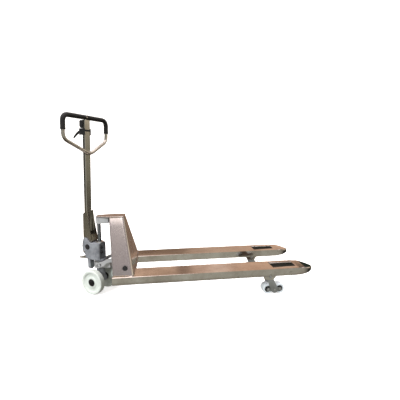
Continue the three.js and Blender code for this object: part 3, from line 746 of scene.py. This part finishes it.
def build_pump():
    cast_from("pump_body", "pump", PUMP_CAST, bore=bore_cutter(PLUNGER_X, *PLUNGER_BORE))
    refine("gland_nut", "pump", BRIGHT_STEEL, 1.2)
    refine("thrust_bearing", "pump", BRIGHT_STEEL, 0.8)
    refine("ram_seal", "pump", RUBBER_LEVER, 0.5)
    refine("pivot_pin", "pump", BLACK_STEEL, 1.2)
    refine("filler_plug", "pump", BLACK_STEEL, 0.8)
    build_ear_fittings()
    build_valve_screws()
    refine("pump_plunger", "plunger", BRIGHT_STEEL, 0.8)
    refine("release_arm", "release_arm", BRIGHT_STEEL, 0.8)
    build_spring()
    build_axle()


def build_ear_fittings():
    """A bolt head on the near ear, and a flat washer round the pivot pin on both ears."""
    bm = bmesh.new()
    head = [(0, 4.5), (5, 4.5), (6.5, 3), (6.5, -1), (0, -1)]
    add_lathe(bm, [(r, -PUMP_HALF - out) for r, out in head], "y",
              (EAR_BOLT[0], 0, EAR_BOLT[1]), 24, closed=False)
    finish_mesh(bm, "ear_bolt", UNIT, BRIGHT_STEEL, "pump")
    for name, s in SIDES.items():
        bm = bmesh.new()
        washer = [(7.6, 0.1), (18, 0.1), (18, 1), (17, 1.6), (7.6, 1.6)]
        add_lathe(bm, [(r, s * (PUMP_HALF + out)) for r, out in washer], "y", (PIVOT[0], 0, PIVOT[1]), 40)
        finish_mesh(bm, f"pivot_washer_{name}", UNIT, HUB_STEEL, "pump")


def build_valve_screws():
    """Two hexagon plugs, one above the other, on the face away from the operator."""
    for name, high in VALVES.items():
        bm = bmesh.new()
        add_lathe(bm, [(0, 21), (11, 21), (11, 24), (8.5, 24), (8.5, 29), (7, 30.5), (0, 30.5)], "x",
                  (0, -12, high), 6, closed=False)
        bevel_sharp(bm, 0.6)
        finish_mesh(bm, f"valve_screw_{name}", UNIT, BLACK_STEEL, "pump")


def build_spring():
    """The plunger's coil spring, with a mesh of its own."""
    low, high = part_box("plunger_spring")
    turns = 5
    steps = turns * 28
    wire, radius = 1.2, 10
    bottom, top = low.z / MM + wire, high.z / MM - wire
    bm = bmesh.new()
    path = []
    for k in range(steps + 1):
        a = 2 * math.pi * turns * k / steps
        path.append(Vector((PLUNGER_X + radius * math.cos(a), radius * math.sin(a),
                            bottom + (top - bottom) * k / steps)))
    add_tube(bm, path, wire, 10, Vector((0, 0, 1)))
    spring = finish_mesh(bm, "plunger_coil", UNIT, BRIGHT_STEEL, "pump", ["plunger_spring"], 60)
    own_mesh(spring)


def build_axle():
    """The dark wheel axle, a retaining ring at each end, and both wheels on it."""
    matrix = UNIT @ Matrix.Translation((AXLE_X * MM, 0, WHEEL_RADIUS * MM))
    bm = bmesh.new()
    add_pin(bm, AXLE_RADIUS, WHEEL_OUTER + 5, 1.9, 2, 48)
    finish_mesh(bm, "axle_shaft", matrix, HUB_STEEL, "pump", ["wheel_axle"], 30)
    for name, s in SIDES.items():
        bm = bmesh.new()
        clip = [(12.7, -1.2), (17, -1.2), (17.6, 0), (17, 1.4), (12.7, 1.4)]
        add_lathe(bm, [(r, s * (WHEEL_OUTER + out)) for r, out in clip], "y", steps=48)
        finish_mesh(bm, f"axle_clip_{name}", matrix, HUB_STEEL, "pump", [f"axle_ring_{name}"], 30)
        build_wheel(name, s, matrix)


def build_wheel(name, s, matrix):
    """Steering wheel: broad nylon tyre and web, and a shielded bearing each side."""
    a, b, r = WHEEL_INNER, WHEEL_OUTER, WHEEL_RADIUS
    body = f"wheel_{name}"
    outer = [(24.5, b - 4), (33, b - 4), (36, b - 7.5), (40, b - 9), (r - 26, b - 9), (r - 21, b - 6.5),
             (r - 18, b - 2), (r - 14, b - 0.5), (r - 7, b)] + arc(r - 6, b - 6, 6, 75, 0, 5)
    inner = [(q, a + b - y) for q, y in outer[::-1]]
    bm = bmesh.new()
    add_lathe(bm, [(q, s * y) for q, y in outer + inner], "y", steps=96)
    finish_mesh(bm, f"wheel_tyre_{name}", matrix, NYLON_WHEEL, body, [f"steer_wheel_{name}"], 32)
    bm = bmesh.new()
    for centre, out in ((b, 1), (a, -1)):
        ring = [(21, 12), (24.3, 12), (24.3, 3.6), (23, 2.8), (21.6, 3.4), (21, 4)]
        shield = [(13, 12), (20.8, 12), (20.8, 4.6), (19, 4.2), (13, 4.2)]
        for section in (ring, shield):
            add_lathe(bm, [(q, s * (centre - out * depth)) for q, depth in section], "y", steps=56)
    finish_mesh(bm, f"wheel_hub_{name}", matrix, HUB_STEEL, body, [f"wheel_bearing_{name}"], 30)


# ---------- drawbar and handle ----------

def build_yoke():
    refine("handle_yoke", "drawbar", TUBE_STEEL, 2.2)
    refine("cam_pin", "drawbar", BLACK_STEEL, 0.8)
    refine("cam_roller", "cam_roller", BRIGHT_STEEL, 0.8)


def build_tube():
    """Drawbar: rectangular tube with drawn corners, open at its foot."""
    bm = bmesh.new()
    low, high = 96, BAR - GRIP_RADIUS - 0.8
    rows = []
    for w in (low, LEVER_W - 60, high):
        loop = []
        for cx, cy, start in ((TUBE_DEPTH - 5, -TUBE_HALF + 5, -90), (TUBE_DEPTH - 5, TUBE_HALF - 5, 0),
                              (-TUBE_DEPTH + 5, TUBE_HALF - 5, 90), (-TUBE_DEPTH + 5, -TUBE_HALF + 5, 180)):
            loop += arc(cx, cy, 5, start, start + 90, 5)
        rows.append([bm.verts.new((x, y, w)) for x, y in loop])
    for a, b in zip(rows, rows[1:]):
        for i in range(len(a)):
            j = (i + 1) % len(a)
            bm.faces.new((a[i], a[j], b[j], b[i]))
    tube = finish_mesh(bm, "drawbar_profile", TUBE, TUBE_STEEL, "drawbar", ["drawbar_tube"], 50)
    solidify(tube, 2.4)


def bend_points(a, corner, b, steps=10):
    """A smooth bend from a to b, drawn towards the corner between them."""
    a, corner, b = Vector(a), Vector(corner), Vector(b)
    parts = (k / steps for k in range(steps + 1))
    return [(1 - t) ** 2 * a + 2 * t * (1 - t) * corner + t * t * b for t in parts]


def half_loop(s):
    """One half of the handle loop, from the middle of its vee round to the middle of the bar."""
    def slant(y):
        lift = SIDE_END - (LOOP_HALF - y) * VEE_SLOPE
        return Vector((VEE_P * (LOOP_HALF - y) / (LOOP_HALF - VEE_Y), s * y, lift))

    low = slant(VEE_LOW_Y).z
    path = bend_points((VEE_P, 0, low), (VEE_P, s * VEE_LOW_Y, low), slant(VEE_Y), 8)
    path += [slant(VEE_Y + (LOOP_HALF - 30 - VEE_Y) * k / 8) for k in range(1, 8)]
    side = s * LOOP_HALF
    path += bend_points(slant(LOOP_HALF - 30), (0, side, SIDE_END), (0, side, SIDE_END + 34))
    path += bend_points((0, side, BAR - TOP_BEND), (0, side, BAR), (0, side - s * TOP_BEND, BAR))
    path.append(Vector((0, s * 60, BAR)))
    path.append(Vector((0, 0, BAR)))
    return path


def build_loop():
    """The loop's one bent bar, its grips, and its welds to the tube."""
    right, left = half_loop(-1), half_loop(1)
    bm = bmesh.new()
    add_tube(bm, left[1:] + right[-2:0:-1] + [right[0], left[1]], LOOP_RADIUS, 28)
    finish_mesh(bm, "handle_loop_bar", TUBE, LOOP_STEEL, "drawbar", ["handle_loop"], 50)
    for name, s in SIDES.items():
        build_grip(name, s)
        bm = bmesh.new()
        foot = SIDE_END - (LOOP_HALF - TUBE_HALF) * VEE_SLOPE
        add_lathe(bm, [(0, -3), (3, -3), (4.5, -1), (4.5, 2), (3, 4), (0, 4)], "z",
                  (TUBE_DEPTH, s * (TUBE_HALF - 1), foot), 20, closed=False)
        finish_mesh(bm, f"loop_weld_{name}", TUBE, WELD, "drawbar", sharp=60)


def build_grip(name, s):
    """Rubber sleeve over the bar and its corner, with moulded rings and a swollen cuff."""
    corner = LOOP_HALF - TOP_BEND
    start = GRIP_START
    path = [Vector((0, s * (start + d), BAR)) for d in (0, 2, 4, 8, 12)]
    path += [Vector((0, s * (start + 12 + (corner - start - 12) * k / 32), BAR)) for k in range(1, 32)]
    side = s * LOOP_HALF
    path += bend_points((0, s * corner, BAR), (0, side, BAR), (0, side, BAR - TOP_BEND), 14)
    path += [Vector((0, side, BAR - TOP_BEND - (GRIP_END - TOP_BEND) * k / 10)) for k in range(1, 11)]
    last = len(path) - 1

    def swell(t):
        i = round(t * last)
        if i in (0, last):
            return 0.90
        if i in (1, 2, last - 1, last - 2):
            return 1.03
        return 0.975 + 0.02 * math.cos(i * math.pi) if 5 <= i < 36 else 0.985

    bm = bmesh.new()
    add_tube(bm, path, GRIP_RADIUS, 28, Vector((1, 0, 0)), swell)
    finish_mesh(bm, f"grip_sleeve_{name}", TUBE, RUBBER_GRIP, "drawbar", [f"grip_{name}"], 40)


def build_lever():
    """Control lever, its pin and bracket, and the moulded cover above it."""
    refine("lever_bracket", "drawbar", RUBBER_LEVER, 0.6)
    refine("lever_pin", "drawbar", BLACK_STEEL, 0.8)
    refine("release_rod", "release_rod", BRIGHT_STEEL, 0.6)
    build_horn()
    cast_from("lever_housing", "drawbar", RUBBER_LEVER, 0.8, 5)


def build_horn():
    """The curved lever: a hub on the pin and a horn that tapers to its tip."""
    p, w = LEVER_P, LEVER_W
    spine = [(-4, -1), (-19, -3), (-36, -9), (-52, -18), (-66, -30), (-78, -43), (-84, -50)]
    girth = [8.5, 9.5, 8.6, 7.6, 6.4, 5.0, 3.2]
    path = [Vector((p + a, 0, w + b)) for a, b in spine]
    bm = bmesh.new()
    add_tube(bm, path, 1, 24, Vector((0, 1, 0)), lambda t: girth[round(t * (len(girth) - 1))])
    hub = [(4.4, -22.5), (8, -22.5), (9, -21.5), (9, 21.5), (8, 22.5), (4.4, 22.5)]
    add_lathe(bm, hub, "y", (p, 0, w), 40)
    add_box(bm, (p, -2.4, w - 4), (2, 2.4, w + 4))
    horn = finish_mesh(bm, "lever_horn", TUBE, RUBBER_LEVER, "lever", ["control_lever"], 60)
    round_off = horn.modifiers.new("round", "SUBSURF")
    round_off.levels = round_off.render_levels = 2
    horn.modifiers.move(len(horn.modifiers) - 1, 0)


# ---------- stage ----------

def build_stage():
    """One pale sheet of paper, a floor that sweeps up into a backdrop all round.

    It glows, and the metal doesn't reflect it.
    """
    profile = [(0, 0), (3.2, 0)] + [(3.2 + 2.2 * math.sin(a), 2.2 - 2.2 * math.cos(a))
                                    for a in (math.pi / 2 * k / 12 for k in range(1, 13))] + [(5.4, 7)]
    bm = bmesh.new()
    add_lathe(bm, profile, "z", steps=72, closed=False)
    mesh = bpy.data.meshes.new("paper")
    bm.to_mesh(mesh)
    bm.free()
    for polygon in mesh.polygons:
        polygon.use_smooth = True
    paper = bpy.data.objects.new("paper", mesh)
    bpy.context.scene.collection.objects.link(paper)
    paper.visible_glossy = False
    paper.visible_diffuse = False
    paper.visible_shadow = False
    m = Nodes("stage_paper")
    m.colour(m.mix(m.span(m.noise(3, 2), 0.3, 0.7, 0, 1), (0.88, 0.88, 0.88), (0.90, 0.90, 0.90)))
    m.set(Roughness=0.9, Specular_IOR_Level=0.1, Emission_Color=(1, 1, 1, 1), Emission_Strength=0.62)
    mesh.materials.append(m.material)


def area_light(name, place, target, size, power):
    """A soft box that lights matt things; polished metal shows the room instead of it."""
    data = bpy.data.lights.new(name, "AREA")
    data.shape = "RECTANGLE"
    data.size, data.size_y = size
    data.energy = power
    light = bpy.data.objects.new(name, data)
    light.location = place
    light.rotation_euler = (Vector(target) - Vector(place)).to_track_quat("-Z", "Y").to_euler()
    light.visible_glossy = False
    bpy.context.scene.collection.objects.link(light)


# What the metal reflects, as (compass degrees from +Y towards +X, colour), from low to high. The
# bands were chosen for the main camera, against the photograph's reflections. They are not
# plain studio light: from other sides the same bands fall elsewhere on the steel.
SOUTH = [(-180, (0.60, 0.60, 0.54)), (-140, (0.42, 0.42, 0.37)), (-118, (0.03, 0.03, 0.035)),
         (-96, (0.05, 0.05, 0.05)), (-90, (1.5, 1.5, 1.45)), (-76, (1.5, 1.5, 1.45)),
         (-70, (0.05, 0.05, 0.05)), (-60, (0.03, 0.03, 0.03)), (-35, (0.36, 0.25, 0.18))]
EAST = [(60, (1.0, 0.86, 0.68)), (92, (1.05, 0.92, 0.74)), (125, (0.5, 0.46, 0.40)),
        (180, (0.60, 0.60, 0.54))]
DARK = (0.02, 0.035, 0.028)
HIGHER = SOUTH + [(-12, (0.80, 0.55, 0.41)), (2.6, (0.86, 0.59, 0.43)), (3.6, (0.36, 0.24, 0.18)),
                  (5.6, (0.42, 0.28, 0.21)), (6.6, (0.86, 0.60, 0.46)), (12, (1.05, 0.80, 0.66)),
                  (16, (0.86, 0.57, 0.41)), (25.2, (0.82, 0.54, 0.37)), (25.8, DARK), (46, DARK)] + EAST
UPPER = SOUTH + [(-12, (0.40, 0.27, 0.19)), (-3, (0.20, 0.13, 0.09)), (3, (0.24, 0.16, 0.11)),
                 (6, (0.62, 0.44, 0.32)), (20, (0.80, 0.54, 0.39)), (28, (0.82, 0.54, 0.38)),
                 (29, DARK), (46, DARK)] + EAST
MIDDLE = SOUTH + [(-12, (0.44, 0.29, 0.21)), (6, (0.44, 0.29, 0.21)), (18, (0.85, 0.58, 0.42)),
                  (29.8, (0.85, 0.58, 0.42)), (30.8, DARK), (46, DARK)] + EAST
LEVEL = SOUTH[:-1] + [(-35, (0.25, 0.17, 0.12)), (0, (0.32, 0.21, 0.15)), (25, (0.30, 0.20, 0.14)),
                      (45, (0.05, 0.05, 0.04)), (60, (0.30, 0.28, 0.21)), (92, (0.36, 0.33, 0.26)),
                      (125, (0.5, 0.46, 0.40)), (180, (0.60, 0.60, 0.54))]
LOWER = [(-180, (0.60, 0.61, 0.54)), (-135, (0.50, 0.49, 0.42)), (-112, (0.30, 0.27, 0.20)),
         (-80, (0.24, 0.21, 0.15)), (-40, (0.10, 0.08, 0.06)), (0, (0.27, 0.18, 0.13)),
         (20, (0.27, 0.18, 0.13)), (52, (0.05, 0.045, 0.04)), (95, (0.05, 0.05, 0.045)),
         (135, (0.50, 0.50, 0.44)), (180, (0.60, 0.61, 0.54))]


def build_world():
    """Coloured surroundings by direction and height: they light everything and show in the metal."""
    world = bpy.data.worlds.new("workshop")
    bpy.context.scene.world = world
    world.use_nodes = True
    tree = world.node_tree
    link = tree.links.new
    background = tree.nodes["Background"]
    where = tree.nodes.new("ShaderNodeTexCoord")
    split = tree.nodes.new("ShaderNodeSeparateXYZ")
    link(where.outputs["Generated"], split.inputs["Vector"])

    def maths(operation, a, b):
        node = tree.nodes.new("ShaderNodeMath")
        node.operation = operation
        for socket, value in ((node.inputs[0], a), (node.inputs[1], b)):
            if isinstance(value, bpy.types.NodeSocket):
                link(value, socket)
            else:
                socket.default_value = value
        return node.outputs["Value"]

    def compass(stops):
        turn = maths("ARCTAN2", split.outputs["X"], split.outputs["Y"])
        ramp = tree.nodes.new("ShaderNodeValToRGB")
        elements = ramp.color_ramp.elements
        elements[0].position, elements[0].color = 0, rgba(stops[0][1])
        elements[1].position, elements[1].color = 1, rgba(stops[-1][1])
        for degrees, colour in stops[1:-1]:
            elements.new((degrees + 180) / 360).color = rgba(colour)
        link(maths("ADD", maths("DIVIDE", turn, 2 * math.pi), 0.5), ramp.inputs["Fac"])
        return ramp.outputs["Color"]

    def by_height(low, high, below, above):
        span = tree.nodes.new("ShaderNodeMapRange")
        span.inputs["From Min"].default_value = low
        span.inputs["From Max"].default_value = high
        link(split.outputs["Z"], span.inputs["Value"])
        mix = tree.nodes.new("ShaderNodeMix")
        mix.data_type = "RGBA"
        link(span.outputs["Result"], mix.inputs["Factor"])
        for socket, value in ((mix.inputs["A"], below), (mix.inputs["B"], above)):
            if isinstance(value, bpy.types.NodeSocket):
                link(value, socket)
            else:
                socket.default_value = rgba(value)
        return mix.outputs["Result"]

    room = by_height(-0.65, -0.45, (0.10, 0.08, 0.06), compass(LOWER))
    room = by_height(-0.18, -0.15, room, compass(LEVEL))
    room = by_height(0.04, 0.07, room, compass(MIDDLE))
    room = by_height(0.235, 0.25, room, compass(UPPER))
    room = by_height(0.31, 0.315, room, compass(HIGHER))
    room = by_height(0.42, 0.58, room, (0.50, 0.45, 0.45))
    room = by_height(0.79, 0.85, room, (3.2, 2.9, 2.8))
    link(room, background.inputs["Color"])
    background.inputs["Strength"].default_value = 1.0


def build_light():
    """Soft boxes: the key from the front left, a low one at the rollers and one overhead."""
    build_world()
    area_light("key", (-2.4, -2.4, 2.1), (-0.3, 0, 0.3), (1.0, 1.0), 150)
    area_light("front", (0.9, -1.5, 0.5), (0.5, 0, 0.05), (0.6, 0.4), 5)
    area_light("top", (0.3, 0.2, 3.6), (0.3, 0.2, 0), (3.0, 3.0), 70)


def build_camera():
    """Camera where the picture was taken: 870 mm up and about 2 m off the near fork."""
    data = bpy.data.cameras.new("camera")
    data.lens = 27.48
    data.sensor_width = 36
    camera = bpy.data.objects.new("camera", data)
    yaw, pitch, roll = math.radians(8.01), math.radians(7.71), math.radians(-0.23)
    ahead = Vector((math.sin(yaw) * math.cos(pitch), math.cos(yaw) * math.cos(pitch), -math.sin(pitch)))
    right = Vector((math.cos(yaw), -math.sin(yaw), 0))
    up = right.cross(ahead)
    turned_right = math.cos(roll) * right + math.sin(roll) * up
    turned_up = -math.sin(roll) * right + math.cos(roll) * up
    place = BASE @ Vector((0.150, -2.026, 0.870))
    camera.matrix_world = columns(turned_right, turned_up, -ahead, place)
    bpy.context.scene.collection.objects.link(camera)
    bpy.context.scene.camera = camera


def main():
    build_forks()
    build_housing()
    build_welds()
    build_linkage()
    build_pump()
    build_yoke()
    build_tube()
    build_loop()
    build_lever()
    build_stage()
    build_light()
    build_camera()
    bpy.context.scene.view_settings.view_transform = "Standard"


main()
